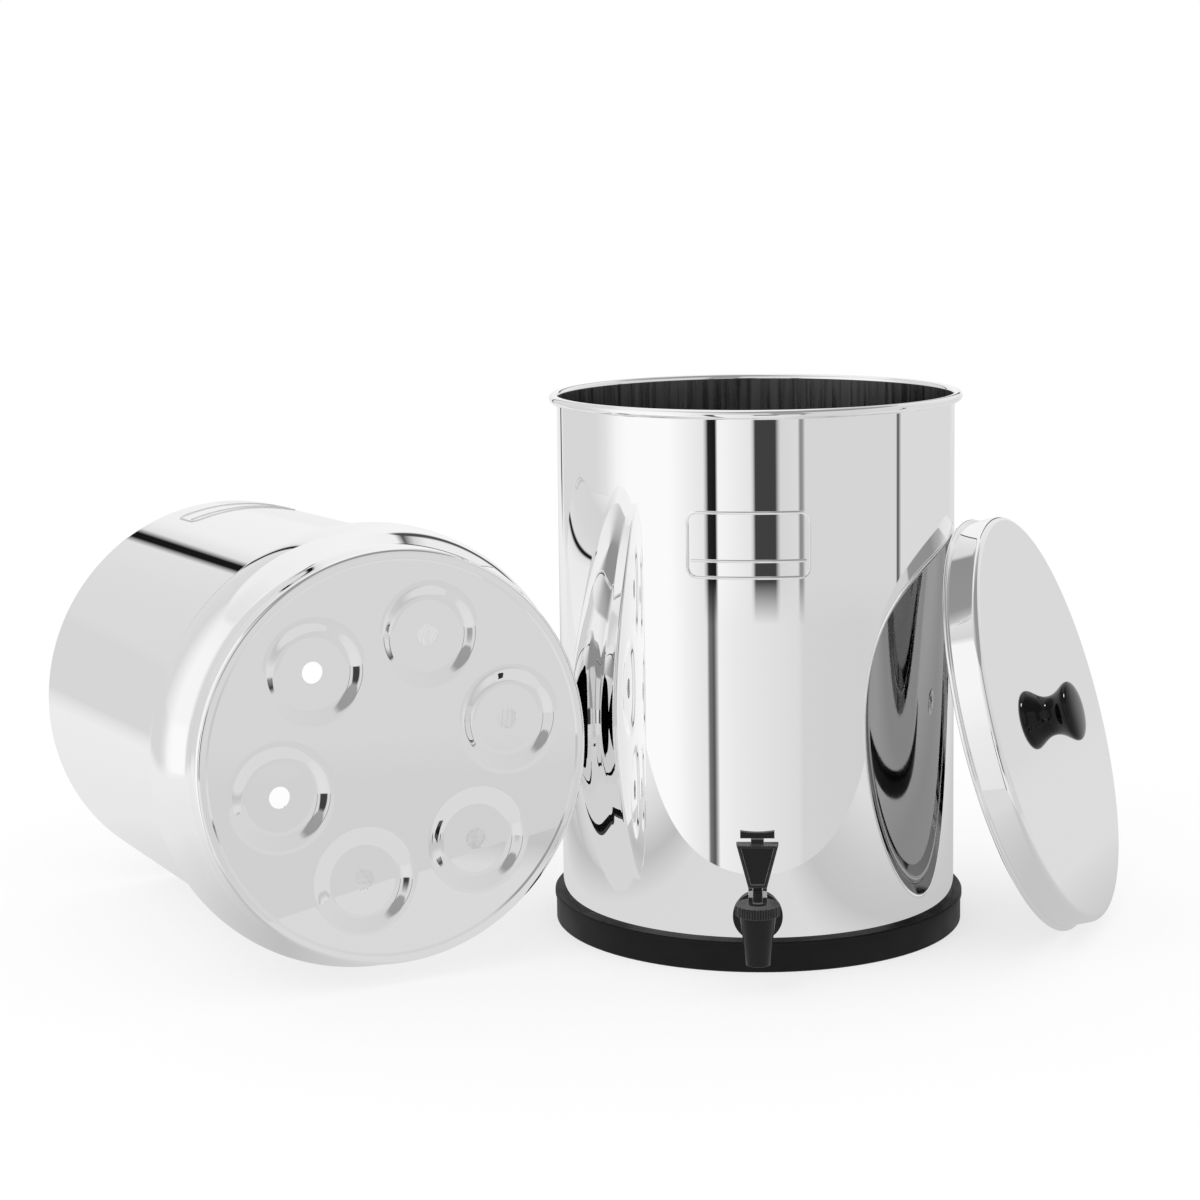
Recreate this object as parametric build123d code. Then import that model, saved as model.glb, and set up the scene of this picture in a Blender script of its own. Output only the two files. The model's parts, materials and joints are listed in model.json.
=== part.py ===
from build123d import *
from math import atan2, cos, hypot, radians, sin, sqrt
import os

# Gravity water filter with tap, taken apart on a table: the lower chamber stands on its rubber
# base ring, the upper chamber lies on its side, and the lid leans against the lower chamber.
# Millimetres, +Z up. The origin is the centre of the base ring's underside, on the table.
# The tap points along -Y.

os.makedirs("parts", exist_ok=True)

# ---- sheet steel --------------------------------------------------------------------------
SHEET = 0.9                # thickness of the pressed steel sheet
FACE_GAP = 0.05            # gap left between faces that are pressed together
REST_GAP = 0.1             # gap under a loose piece that only rests on what is below it
PAST = 1.0                 # a cut runs this far past what it cuts

# ---- lower chamber and base ring ----------------------------------------------------------
LOWER_R = 126.0            # outer radius of the body
LOWER_TOP = 340.4          # top of the rolled rim above the table
RIM_TUBE_R = 2.9           # outer radius of the rolled rim's tube
FOOT_BEND_R = 5.0          # bend between the chamber's floor and its wall
FLOOR_RISE = 2.5           # the pressed floor panel stands this much above the foot
FLOOR_PANEL_R = 104.0      # radius of the pressed floor panel
PANEL_SLOPE = 1.5          # width of the slope at the edge of a pressed panel
RING_UNDER = 4.0           # rubber under the chamber's foot
RING_WALL = 4.6            # rubber round the chamber's foot
RING_TALL = 18.9           # height of the ring
RING_LEDGE = 17.0          # how far the ring reaches in under the chamber
RING_LIP = 0.8             # rolled top lip, beyond the ring's wall
RING_LIP_TALL = 3.0
RING_BEVEL = 0.7           # bevel of the ring's outer corners

# ---- tap ----------------------------------------------------------------------------------
TAP_Z = 35.0               # height of the tap's shank
TAP_REACH = 43.0           # from the chamber's wall to the spout's axis
WASHER_T = 2.0             # thickness of each sealing washer
WASHER_INSET = 0.5         # a washer's edge lies this far inside the flange's
SHANK_R = 7.8              # threaded shank through the wall
SHANK_INSIDE = 24.0        # length of the shank inside the chamber
SHANK_BORE_R = 4.6         # water way in the shank
HOLE_FIT = 0.4             # radial gap between the shank and the hole in the wall
FLANGE_R = 15.0            # flange that presses the outer washer on the wall
FLANGE_T = 3.2
FLANGE_CONE = 2.5          # cone between the barrel and the flange
BARREL_R = 8.6             # from the flange to the spout
SPOUT_END_Z = 17.4         # open end of the spout above the table
SPOUT_END_R = 7.3
SPOUT_TOP_R = 10.6         # top of the spout, under the bonnet
SPOUT_TOP_Z = 47.2
OUTLET_R = 5.0             # bore of the spout
SEAT_Z = 29.0              # valve seat
VALVE_R = 7.4              # bore of the valve chamber above the seat
NECK_R = 9.7               # neck that carries the bonnet
NECK_TALL = 3.4
BONNET_R = 12.6
BONNET_TALL = 6.4
BONNET_RIBS = 24
BONNET_RIB = 0.5           # how far each grip rib stands proud
BONNET_RIB_R = 0.9
COLLAR_R = 5.8             # collar on the bonnet that the lever's cams press on
COLLAR_TALL = 1.6
NUT_FLATS = 25.0           # shank nut, across flats
NUT_T = 8.0
NUT_FIT = 0.08             # radial gap between the shank and what is threaded on it
STEM_R = 3.0
STEM_FIT = 0.07            # radial running gap of the stem in the bonnet
STEM_FLAT = 5.4            # the stem's flattened eye is this wide
CUP_R = 6.8                # silicone seat cup
CUP_RIM = 3.0              # straight part of the cup's side, above the seat
CUP_TOP_R = 4.6
CUP_TALL = 7.5
CUP_GRIP = 5.0             # length of the stem inside the cup
VALVE_LIFT = 3.0           # how far the lever pulls the stem up
PIN_R = 1.2                # lever pin
PIN_FIT = 0.05             # radial running gap of the pin in the stem's eye
PIN_OVER_COLLAR = 5.5      # the pin's axis above the collar
EYE_R = 3.0                # rounded end of the stem's eye, about the pin
CAM_GAP = 0.4              # between the cams and the collar with the tap shut
CAM_R = 2.3
CAM_OFFSET = 5.7           # cam centre in front of the pin
ARM_GAP = 0.15             # between the stem's eye and each arm
ARM_T = 2.6                # thickness of each arm of the lever's fork
ARM_R = 3.5                # boss of each arm round the pin
PADDLE_FOOT_Z = 64.0       # lower edge of the paddle
PADDLE_TOP_Z = 90.1
PADDLE_FOOT_W = 10.9
PADDLE_TOP_W = 24.7
PADDLE_T = 7.0
PADDLE_PANEL = 1.0         # depth of the recessed front panel
PADDLE_FRAME = 2.0         # frame left round the panel
PADDLE_BEVEL = 0.8
LEVER_NECK_W = 7.5
LEVER_NECK_TALL = 3.3
THUMB_W = 20.0             # cross bar at the lever's top
THUMB_TALL = 4.3
THUMB_T = 3.0
THUMB_DIP = 0.9            # the bar's top is hollowed by this much

# ---- upper chamber ------------------------------------------------------------------------
PLUG_FIT = 0.5             # radial gap between the plug and the lower chamber's mouth
PLUG_TALL = 16.0           # straight part that drops into the lower chamber
DISC_BEND_R = 2.6          # bend round the bottom disc
DISC_EDGE = 2.6            # flat margin between that bend and the recessed disc
DISC_RECESS = 0.6
SHOULDER_RISE = 22.0       # sloped shoulder between the plug and the band
SHOULDER_FOOT_R = 12.0
SHOULDER_R = 50.0
BAND_PROUD = 4.9           # the band stands this far outside the lower chamber's rim
BAND_TOP = 54.0            # upper end of the band, from the disc
STEP_RISE = 4.6            # the step from the band in to the body is taller than wide by this
STEP_BAND_R = 8.0
STEP_BODY_R = 10.0
UPPER_R = 128.4            # outer radius of the body
UPPER_TALL = 305.0         # from the disc to the open end
HEM_R = 1.8                # rolled hem at the open end, turned inwards
HOLE_COUNT = 6
HOLE_PCD = 150.0
HOLE_R = 6.5               # holes for the filter elements' stems
PAD_R = 23.5               # flat pad round each hole
DISH_R = 30.0              # outer edge of the dish round each pad
DISH_DEEP = 3.0            # the pads stand this far inside the disc
CHAMBER_GAP = 0.3          # gap between the two chambers, at the middle of the band
UPPER_AHEAD = 27.5         # the disc lies this far ahead of the lower chamber's middle
UPPER_TURN = 29.9          # its axis is turned this far from -Y towards +X, in degrees
UPPER_SPIN = 47.9          # first hole, turned about the axis, in degrees

# ---- lid ----------------------------------------------------------------------------------
LID_FIT = 1.4              # radial gap between the lid's wall and the upper chamber's body
LID_TALL = 22.4            # from the rolled edge to the top
LID_BEND_R = 3.6           # bend between the wall and the top
LID_TUBE_R = 1.7           # outer radius of the rolled edge's tube
LID_TURN = 18.4            # the lid's axis, turned from +X towards -Y, in degrees
LID_LEAN = 16.3            # the lid's axis, raised above the table, in degrees
LID_SIDE = -4.2            # direction of the lid's middle seen from the origin, in degrees
LEAN_GAP = 0.3             # between the lid's rolled edge and the lower chamber
KNOB_R = 19.0              # widest part of the mushroom-shaped knob
KNOB_NECK_R = 12.6         # its neck, on the lid
KNOB_PULL = 6.5            # how full the hollow curve from the neck to the widest part is
KNOB_WIDE_Z = 13.6         # height of the widest part above the lid
KNOB_TALL = 18.6
SCREW_R = 2.5
SCREW_FIT = 0.25           # radial gap round the knob's screw
SCREW_HEAD_R = 5.0
SCREW_HEAD_T = 3.0
SCREW_HEAD_BEVEL = 1.4
KNOB_WASHER_R = 9.0
KNOB_WASHER_T = 1.2
INSERT_R = 4.2             # brass insert in the knob
INSERT_TALL = 9.0

# ---- filter elements and plugs, packed in the lower chamber ---------------------------------
ELEMENT_R = 28.5
ELEMENT_TALL = 205.0       # carbon block
ELEMENT_EDGE_R = 4.0       # rounding of its closed end
ELEMENT_CORE_R = 8.0
ELEMENT_CORE_DEEP = 180.0
ELEMENT_X = 46.0           # each element stands this far to one side of the middle
ELEMENT_Y = 28.0
BASE_R = 30.5              # moulded base of an element
BASE_T = 11.0
BASE_GRIP = 4.0            # the base's rim reaches this far down the block
BASE_BEVEL = 1.5
ELEMENT_STEM_R = 5.9
ELEMENT_STEM_TALL = 34.0
ELEMENT_STEM_BORE_R = 2.6
SEAL_R = 18.0              # rubber washer under the base
SEAL_T = 3.2
WING_HUB_R = 8.6
WING_HUB_T = 8.0
WING_SPAN = 23.0           # from the stem's axis to a wing's tip
WING_T = 3.2
WING_TALL = 9.0
WING_ROUND = 3.0
STOPPER_GRIP = 0.2         # a rubber stopper is this much fatter than the hole it closes
STOPPER_T = 9.0
STOPPER_HEAD_R = 12.0
STOPPER_HEAD_T = 3.0
STOPPER_BEVEL = 0.8
STOPPER_SPACING = 34.0
STOPPER_Y = -52.0
STOPPER_COUNT = 4

# ---- sizes that follow --------------------------------------------------------------------
HALF = SHEET / 2
FLOOR_Z = RING_UNDER + FACE_GAP + HALF                 # middle of the lower chamber's foot
LOWER_MID = LOWER_R - HALF                             # middle of its wall
MOUTH_R = LOWER_R - SHEET
RIM_OUT_R = MOUTH_R + 2 * RIM_TUBE_R
RING_IN_R = LOWER_R + FACE_GAP
RING_OUT_R = RING_IN_R + RING_WALL
FLOOR_TOP = FLOOR_Z + FLOOR_RISE + HALF                # where loose pieces stand
TAP_Y = -(LOWER_R + TAP_REACH)
FLANGE_Y = -(LOWER_R + WASHER_T)                       # back face of the flange
NUT_Y = WASHER_T - MOUTH_R                             # the nut's face against its washer
SHANK_END_Y = SHANK_INSIDE - MOUTH_R
NECK_TOP = SPOUT_TOP_Z + NECK_TALL
COLLAR_Z = SPOUT_TOP_Z + BONNET_TALL + COLLAR_TALL     # top of the collar
PIN_Z = COLLAR_Z + PIN_OVER_COLLAR
CAM_DROP = PIN_OVER_COLLAR - CAM_GAP - CAM_R           # cam centre below the pin
STEM_FOOT_Z = SEAT_Z + CUP_TALL - CUP_GRIP
PLUG_MID = MOUTH_R - PLUG_FIT - HALF
BAND_OUT_R = RIM_OUT_R + BAND_PROUD
STEP_TOP = BAND_TOP + abs(BAND_OUT_R - UPPER_R) + STEP_RISE
LID_MID = UPPER_R + LID_FIT + HALF
LID_OUT_R = LID_MID - HALF + 2 * LID_TUBE_R            # outermost radius of the rolled edge
WASHER_TOP_Z = -FACE_GAP - SHEET - FACE_GAP            # the screw's washer, against the lid's inside
ELEMENT_FOOT_Z = FLOOR_TOP + REST_GAP
ELEMENT_TOP_Z = ELEMENT_FOOT_Z + ELEMENT_TALL          # top of the carbon block
BASE_TOP_Z = ELEMENT_TOP_Z - BASE_GRIP + BASE_T
STOPPER_R = HOLE_R + STOPPER_GRIP


# ---- small tools --------------------------------------------------------------------------
def turned(profile):
    """A full turn about Z of a half section drawn with x as the radius and y as the height."""
    return revolve(Plane.XZ * profile, Axis.Z, 360)


def along_y(shape):
    """What was made along Z, laid along Y: a height becomes a place on Y."""
    return Rot(-90, 0, 0) * shape


def section(*points):
    """A closed half section with straight sides."""
    return make_face(Polyline(*points, close=True))


def pressed(bends, *points):
    """Half section of pressed sheet: its middle line through these points, bent by these radii."""
    return trace(FilletPolyline(*points, radius=bends), line_width=SHEET)


def rolled(radius, height, tube_r):
    """Half section of a rolled edge: a round bead, closed on itself."""
    return Pos(radius, height) * Circle(tube_r)


def rod(radius, low, high):
    """An upright round bar between two heights."""
    return Pos(0, 0, (low + high) / 2) * Cylinder(radius, high - low)


def tube(outer, inner, low, high):
    """An upright round tube between two heights."""
    return rod(outer, low, high) - rod(inner, low - PAST, high + PAST)


def across_x(radius, half_length):
    """A round bar along X, centred on the YZ plane."""
    return Rot(0, 90, 0) * Cylinder(radius, 2 * half_length)


def write(node, shape):
    """Writes one node; separate solids stay separate in one file."""
    export_step(shape, f"parts/{node}.step")


# ---- lower chamber ------------------------------------------------------------------------
def lower_chamber():
    """Deep-drawn pot with a raised floor panel, a rolled rim, and a hole for the tap."""
    rim_z = LOWER_TOP - RIM_TUBE_R
    pot = turned(rolled(MOUTH_R + RIM_TUBE_R, rim_z, RIM_TUBE_R) + pressed(
        (0, 0, FOOT_BEND_R),
        (0, FLOOR_Z + FLOOR_RISE), (FLOOR_PANEL_R, FLOOR_Z + FLOOR_RISE),
        (FLOOR_PANEL_R + PANEL_SLOPE, FLOOR_Z), (LOWER_MID, FLOOR_Z), (LOWER_MID, rim_z),
    ))
    return pot - Pos(0, 0, TAP_Z) * along_y(rod(SHANK_R + HOLE_FIT, FLANGE_Y, NUT_Y))


def base_ring():
    """Rubber ring under and round the chamber's foot, with a thicker lip along its top."""
    ledge_r = LOWER_R - RING_LEDGE
    lip_foot = RING_TALL - RING_LIP_TALL
    lip_r = RING_OUT_R + RING_LIP
    return turned(section(
        (ledge_r, 0), (RING_OUT_R - RING_BEVEL, 0), (RING_OUT_R, RING_BEVEL), (RING_OUT_R, lip_foot),
        (lip_r, lip_foot), (lip_r, RING_TALL - RING_BEVEL), (lip_r - RING_BEVEL, RING_TALL),
        (RING_IN_R, RING_TALL), (RING_IN_R, RING_UNDER), (ledge_r, RING_UNDER),
    ))


# ---- tap ----------------------------------------------------------------------------------
def tap_body():
    """Tapered spout with valve seat and neck, barrel, flange and the shank through the wall."""
    spout = Pos(0, TAP_Y, 0) * turned(section(
        (0, SPOUT_END_Z), (SPOUT_END_R, SPOUT_END_Z), (SPOUT_TOP_R, SPOUT_TOP_Z),
        (NECK_R, SPOUT_TOP_Z), (NECK_R, NECK_TOP), (0, NECK_TOP),
    ))
    flange_front = FLANGE_Y - FLANGE_T
    barrel = Pos(0, 0, TAP_Z) * along_y(turned(section(
        (0, TAP_Y), (BARREL_R, TAP_Y), (BARREL_R, flange_front - FLANGE_CONE),
        (BARREL_R + FLANGE_CONE, flange_front), (FLANGE_R, flange_front), (FLANGE_R, FLANGE_Y),
        (SHANK_R, FLANGE_Y), (SHANK_R, SHANK_END_Y), (0, SHANK_END_Y),
    )))
    water_way = Pos(0, 0, TAP_Z) * along_y(rod(SHANK_BORE_R, TAP_Y, SHANK_END_Y + PAST))
    outlet = rod(OUTLET_R, SPOUT_END_Z - PAST, SEAT_Z) + rod(VALVE_R, SEAT_Z, NECK_TOP + PAST)
    return spout + barrel - water_way - Pos(0, TAP_Y, 0) * outlet


def tap_outer_washer():
    """Washer between the flange and the wall; the wall's curve is pressed into one face."""
    ring = along_y(tube(FLANGE_R - WASHER_INSET, SHANK_R + NUT_FIT, FLANGE_Y + FACE_GAP, -MOUTH_R))
    return Pos(0, 0, TAP_Z) * ring - rod(LOWER_R + FACE_GAP, 0, LOWER_TOP)


def tap_inner_washer():
    """Washer between the wall and the nut, shaped to the wall's inside."""
    ring = along_y(tube(FLANGE_R - WASHER_INSET, SHANK_R + NUT_FIT, -LOWER_R, NUT_Y - FACE_GAP))
    return (Pos(0, 0, TAP_Z) * ring) & rod(MOUTH_R - FACE_GAP, 0, LOWER_TOP)


def tap_nut():
    """Moulded hexagon nut that pulls the shank tight."""
    hexagon = extrude(RegularPolygon(NUT_FLATS / 2, 6, major_radius=False), NUT_T)
    bore = rod(SHANK_R + NUT_FIT, -PAST, NUT_T + PAST)
    return Pos(0, NUT_Y, TAP_Z) * along_y(hexagon - bore)


def tap_bonnet():
    """Grip-ribbed cap screwed on the neck, with a collar that guides the stem."""
    ribs = PolarLocations(BONNET_R + BONNET_RIB - BONNET_RIB_R, BONNET_RIBS) * Circle(BONNET_RIB_R)
    foot = SPOUT_TOP_Z + FACE_GAP
    cap = Pos(0, 0, foot) * extrude(Circle(BONNET_R) + ribs, BONNET_TALL - FACE_GAP)
    cap += rod(COLLAR_R, COLLAR_Z - COLLAR_TALL, COLLAR_Z)
    cap -= rod(NECK_R + NUT_FIT, foot - PAST, NECK_TOP + FACE_GAP)
    cap -= rod(STEM_R + STEM_FIT, foot, COLLAR_Z + PAST)
    return Pos(0, TAP_Y, 0) * cap


def valve_stem():
    """Round stem, flattened above the collar into an eye for the lever's pin."""
    flat_foot = COLLAR_Z - VALVE_LIFT - CAM_GAP
    neck = extrude(Circle(STEM_R) & Rectangle(STEM_FLAT, 2 * STEM_R), PIN_Z - flat_foot)
    eye = across_x(EYE_R, STEM_FLAT / 2)
    stem = rod(STEM_R, STEM_FOOT_Z, flat_foot) + Pos(0, 0, flat_foot) * neck + Pos(0, 0, PIN_Z) * eye
    return Pos(0, TAP_Y, 0) * (stem - Pos(0, 0, PIN_Z) * across_x(PIN_R + PIN_FIT, STEM_FLAT))


def seat_cup():
    """Silicone cup that closes the spout; its tapered skirt springs the lever back."""
    foot = SEAT_Z + FACE_GAP
    top = foot + CUP_TALL
    cup = turned(section((0, foot), (CUP_R, foot), (CUP_R, foot + CUP_RIM), (CUP_TOP_R, top), (0, top)))
    return Pos(0, TAP_Y, 0) * (cup - rod(STEM_R + FACE_GAP, STEM_FOOT_Z - FACE_GAP, NECK_TOP))


def lever_pin():
    """Pin through the lever's fork and the stem's eye."""
    half = STEM_FLAT / 2 + ARM_GAP + ARM_T
    return Pos(0, TAP_Y, PIN_Z) * across_x(PIN_R, half)


def tap_lever():
    """Fork with two cams that ride on the collar, flared paddle with a sunk panel, thumb bar."""
    arm_in = STEM_FLAT / 2 + ARM_GAP
    half_t = PADDLE_T / 2
    boss_edge = CenterArc((0, 0), ARM_R, 0, 360)
    cam_edge = CenterArc((-CAM_OFFSET, -CAM_DROP), CAM_R, 0, 360)
    side = make_face(make_hull(boss_edge.edges() + cam_edge.edges()))
    side += Pos(0, (PADDLE_FOOT_Z - PIN_Z) / 2) * Rectangle(PADDLE_T, PADDLE_FOOT_Z - PIN_Z)
    arm = Pos(arm_in, 0, PIN_Z) * extrude(Plane.YZ * side, ARM_T)
    arm -= Pos(0, 0, PIN_Z) * across_x(PIN_R + PIN_FIT, 2 * (arm_in + ARM_T))
    outline = make_face(Polyline(
        (PADDLE_FOOT_W / 2, PADDLE_FOOT_Z), (PADDLE_TOP_W / 2, PADDLE_TOP_Z),
        (-PADDLE_TOP_W / 2, PADDLE_TOP_Z), (-PADDLE_FOOT_W / 2, PADDLE_FOOT_Z), close=True))
    paddle = extrude(Plane.XZ * outline, half_t, both=True)
    paddle = chamfer(paddle.faces().sort_by(Axis.Y)[0].edges(), PADDLE_BEVEL)
    panel = extrude(Plane.XZ * offset(outline, -PADDLE_FRAME), PADDLE_PANEL)
    paddle -= Pos(0, PADDLE_PANEL - half_t, 0) * panel
    neck_top = PADDLE_TOP_Z + LEVER_NECK_TALL
    neck = Pos(0, 0, PADDLE_TOP_Z + LEVER_NECK_TALL / 2) * Box(LEVER_NECK_W, PADDLE_T, LEVER_NECK_TALL)
    top = neck_top + THUMB_TALL
    bar = make_face(Polyline((-THUMB_W / 2, top), (-THUMB_W / 2, neck_top), (THUMB_W / 2, neck_top),
                             (THUMB_W / 2, top))
                    + ThreePointArc((THUMB_W / 2, top), (0, top - THUMB_DIP), (-THUMB_W / 2, top)))
    thumb = extrude(Plane.XZ * bar, THUMB_T / 2, both=True)
    return Pos(0, TAP_Y, 0) * (arm + mirror(arm, Plane.YZ) + paddle + neck + thumb)


# ---- upper chamber ------------------------------------------------------------------------
def upper_place():
    """Where the upper chamber lies: its band and its rolled edge both rest on the table."""
    run = UPPER_TALL - HEM_R - BAND_TOP
    lean = atan2(BAND_OUT_R - UPPER_R, run)
    turn = radians(UPPER_TURN)
    band_z = (PLUG_TALL + SHOULDER_RISE + BAND_TOP) / 2
    aside = BAND_OUT_R + sqrt((LOWER_R + CHAMBER_GAP) ** 2 - (band_z - UPPER_AHEAD) ** 2)
    axis = Vector(sin(turn) * cos(lean), -cos(turn) * cos(lean), sin(lean))
    disc = Vector(
        -cos(turn) * aside + sin(turn) * UPPER_AHEAD, -sin(turn) * aside - cos(turn) * UPPER_AHEAD,
        REST_GAP + BAND_TOP * sin(lean) + BAND_OUT_R * cos(lean),
    )
    return Plane(disc, x_dir=(-cos(turn), -sin(turn), 0), z_dir=-axis).location


def upper_chamber():
    """Drawn pot: recessed disc with dished holes, plug, shoulder, band, step and rolled edge."""
    disc_z = DISC_RECESS + HALF
    disc_r = PLUG_MID - DISC_BEND_R - DISC_EDGE
    band_mid = BAND_OUT_R - HALF
    body_mid = UPPER_R - HALF
    hem_z = UPPER_TALL - HEM_R
    pot = turned(rolled(UPPER_R - HEM_R, hem_z, HEM_R) + pressed(
        (0, 0, DISC_BEND_R, SHOULDER_FOOT_R, SHOULDER_R, STEP_BAND_R, STEP_BODY_R),
        (0, disc_z), (disc_r - PANEL_SLOPE, disc_z), (disc_r, HALF), (PLUG_MID, HALF),
        (PLUG_MID, PLUG_TALL), (band_mid, PLUG_TALL + SHOULDER_RISE), (band_mid, BAND_TOP),
        (body_mid, STEP_TOP), (body_mid, hem_z),
    ))
    dish = turned(pressed(
        (0, 0),
        (HOLE_R, disc_z + DISH_DEEP), (PAD_R, disc_z + DISH_DEEP), (DISH_R, disc_z),
        (DISH_R + PANEL_SLOPE, disc_z),
    ))
    well = rod(DISH_R + PANEL_SLOPE, -PAST, disc_z + PAST)
    for place in PolarLocations(HOLE_PCD / 2, HOLE_COUNT, start_angle=UPPER_SPIN):
        pot = pot - place * well + place * dish
    return pot


# ---- lid ----------------------------------------------------------------------------------
def lid_place():
    """Where the lid leans: its rolled edge stands on the table and touches the lower chamber."""
    turn, lean, side = radians(LID_TURN), radians(LID_LEAN), radians(LID_SIDE)
    out = Vector(cos(turn) * cos(lean), -sin(turn) * cos(lean), sin(lean))
    level = Vector(sin(turn), cos(turn), 0)
    rise = out.cross(level)
    edge_r = LID_OUT_R - LID_TUBE_R
    height = REST_GAP + LID_TUBE_R + edge_r * cos(lean)
    edge = [level * (edge_r * cos(radians(t))) + rise * (edge_r * sin(radians(t)))
            for t in range(360)]

    def middle(distance):
        """Middle of the rolled edge at this distance from the lower chamber's axis."""
        return Vector(distance * cos(side), distance * sin(side), height)

    def gap(distance):
        """Least gap between the rolled edge and the lower chamber's wall."""
        points = [middle(distance) + p for p in edge]
        return min(hypot(p.X, p.Y) for p in points) - LID_TUBE_R - LOWER_R

    near, far = LOWER_R, LOWER_R + LID_OUT_R
    while far - near > FACE_GAP:
        half_way = (near + far) / 2
        near, far = (near, half_way) if gap(half_way) > LEAN_GAP else (half_way, far)
    return Plane(middle(far) - out * LID_TUBE_R, x_dir=level, z_dir=out).location


def lid_shell():
    """Shallow pan with a rolled edge, open below, and a hole for the knob's screw."""
    return turned(rolled(LID_OUT_R - LID_TUBE_R, LID_TUBE_R, LID_TUBE_R) + pressed(
        (LID_BEND_R,),
        (SCREW_R + SCREW_FIT, LID_TALL - HALF), (LID_MID, LID_TALL - HALF), (LID_MID, LID_TUBE_R),
    ))


def knob_crown():
    """Mushroom-shaped knob, narrow on the lid, with a pocket for the brass insert."""
    side = Bezier((KNOB_NECK_R, 0), (KNOB_NECK_R, KNOB_PULL),
                  (KNOB_R, KNOB_WIDE_Z - KNOB_PULL / 2), (KNOB_R, KNOB_WIDE_Z))
    top = Bezier((KNOB_R, KNOB_WIDE_Z), (KNOB_R, KNOB_TALL), (0, KNOB_TALL))
    rest = Polyline((0, KNOB_TALL), (0, 0), (KNOB_NECK_R, 0))
    pocket = rod(INSERT_R + FACE_GAP, -PAST, INSERT_TALL + FACE_GAP)
    return turned(make_face(side + top + rest)) - pocket


def knob_insert():
    """Threaded brass sleeve moulded into the knob."""
    return tube(INSERT_R, SCREW_R + NUT_FIT, 0, INSERT_TALL)


def knob_screw():
    """Pan-head screw from inside the lid into the insert."""
    under_washer = WASHER_TOP_Z - KNOB_WASHER_T - FACE_GAP
    head = rod(SCREW_HEAD_R, under_washer - SCREW_HEAD_T, under_washer)
    head = chamfer(head.edges().sort_by(Axis.Z)[0], SCREW_HEAD_BEVEL)
    return head + rod(SCREW_R, under_washer, INSERT_TALL - FACE_GAP)


def knob_washer():
    """Washer that spreads the screw's pull on the lid's sheet."""
    return tube(KNOB_WASHER_R, SCREW_R + SCREW_FIT, WASHER_TOP_Z - KNOB_WASHER_T, WASHER_TOP_Z)


# ---- filter elements and stoppers -----------------------------------------------------------
def element_cartridge():
    """Carbon block, closed and rounded at its foot, with a core bore from above."""
    outline = FilletPolyline(
        (0, ELEMENT_FOOT_Z), (ELEMENT_R, ELEMENT_FOOT_Z), (ELEMENT_R, ELEMENT_TOP_Z),
        (0, ELEMENT_TOP_Z), radius=(0, ELEMENT_EDGE_R, 0, 0), close=True,
    )
    core = rod(ELEMENT_CORE_R, ELEMENT_TOP_Z - ELEMENT_CORE_DEEP, ELEMENT_TOP_Z + PAST)
    return turned(make_face(outline)) - core


def element_base():
    """Moulded cap on the block's open end, with the threaded stem that passes a hole."""
    rim_z = ELEMENT_TOP_Z - BASE_GRIP
    under_cap = ELEMENT_TOP_Z + FACE_GAP
    grip_r = ELEMENT_R + NUT_FIT
    stem_top = BASE_TOP_Z + ELEMENT_STEM_TALL
    cap = turned(section(
        (0, stem_top), (ELEMENT_STEM_R, stem_top), (ELEMENT_STEM_R, BASE_TOP_Z),
        (BASE_R - BASE_BEVEL, BASE_TOP_Z), (BASE_R, BASE_TOP_Z - BASE_BEVEL), (BASE_R, rim_z),
        (grip_r, rim_z), (grip_r, under_cap), (0, under_cap),
    ))
    return cap - rod(ELEMENT_STEM_BORE_R, ELEMENT_TOP_Z, stem_top + PAST)


def element_seal():
    """Rubber washer on the base, round the stem."""
    foot = BASE_TOP_Z + FACE_GAP
    return tube(SEAL_R, ELEMENT_STEM_R + NUT_FIT, foot, foot + SEAL_T)


def wing_nut():
    """Moulded wing nut, run down the stem on to the seal."""
    foot = BASE_TOP_Z + SEAL_T + 2 * FACE_GAP
    wings = Pos(0, 0, foot) * Box(2 * WING_SPAN, WING_T, WING_TALL,
                                  align=(Align.CENTER, Align.CENTER, Align.MIN))
    wings = fillet(wings.edges().filter_by(Axis.Y), WING_ROUND)
    hub = rod(WING_HUB_R, foot, foot + WING_HUB_T)
    return hub + wings - rod(ELEMENT_STEM_R + NUT_FIT, foot - PAST, foot + WING_TALL + PAST)


def hole_plugs():
    """Rubber stoppers for the unused holes, standing on their heads in a row."""
    foot = FLOOR_TOP + REST_GAP
    shoulder = foot + STOPPER_HEAD_T
    top = shoulder + STOPPER_T
    stopper = turned(section(
        (0, foot), (STOPPER_HEAD_R, foot), (STOPPER_HEAD_R, shoulder), (STOPPER_R, shoulder),
        (STOPPER_R, top - STOPPER_BEVEL), (STOPPER_R - STOPPER_BEVEL, top), (0, top),
    ))
    row = GridLocations(STOPPER_SPACING, 1, STOPPER_COUNT, 1)
    return Compound(children=[Pos(0, STOPPER_Y, 0) * place * stopper for place in row])


# ---- everything in its place ----------------------------------------------------------------
write("lower_chamber", lower_chamber())
write("base_ring", base_ring())
write("tap_body", tap_body())
write("tap_outer_washer", tap_outer_washer())
write("tap_inner_washer", tap_inner_washer())
write("tap_nut", tap_nut())
write("tap_bonnet", tap_bonnet())
write("valve_stem", valve_stem())
write("seat_cup", seat_cup())
write("tap_lever", tap_lever())
write("lever_pin", lever_pin())
write("hole_plugs", hole_plugs())
write("upper_chamber", upper_place() * upper_chamber())

lid = lid_place()
on_lid = lid * Pos(0, 0, LID_TALL + FACE_GAP)
write("lid_shell", lid * lid_shell())
for node, shape in (("knob_crown", knob_crown()), ("knob_insert", knob_insert()),
                    ("knob_screw", knob_screw()), ("knob_washer", knob_washer())):
    write(node, on_lid * shape)

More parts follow.
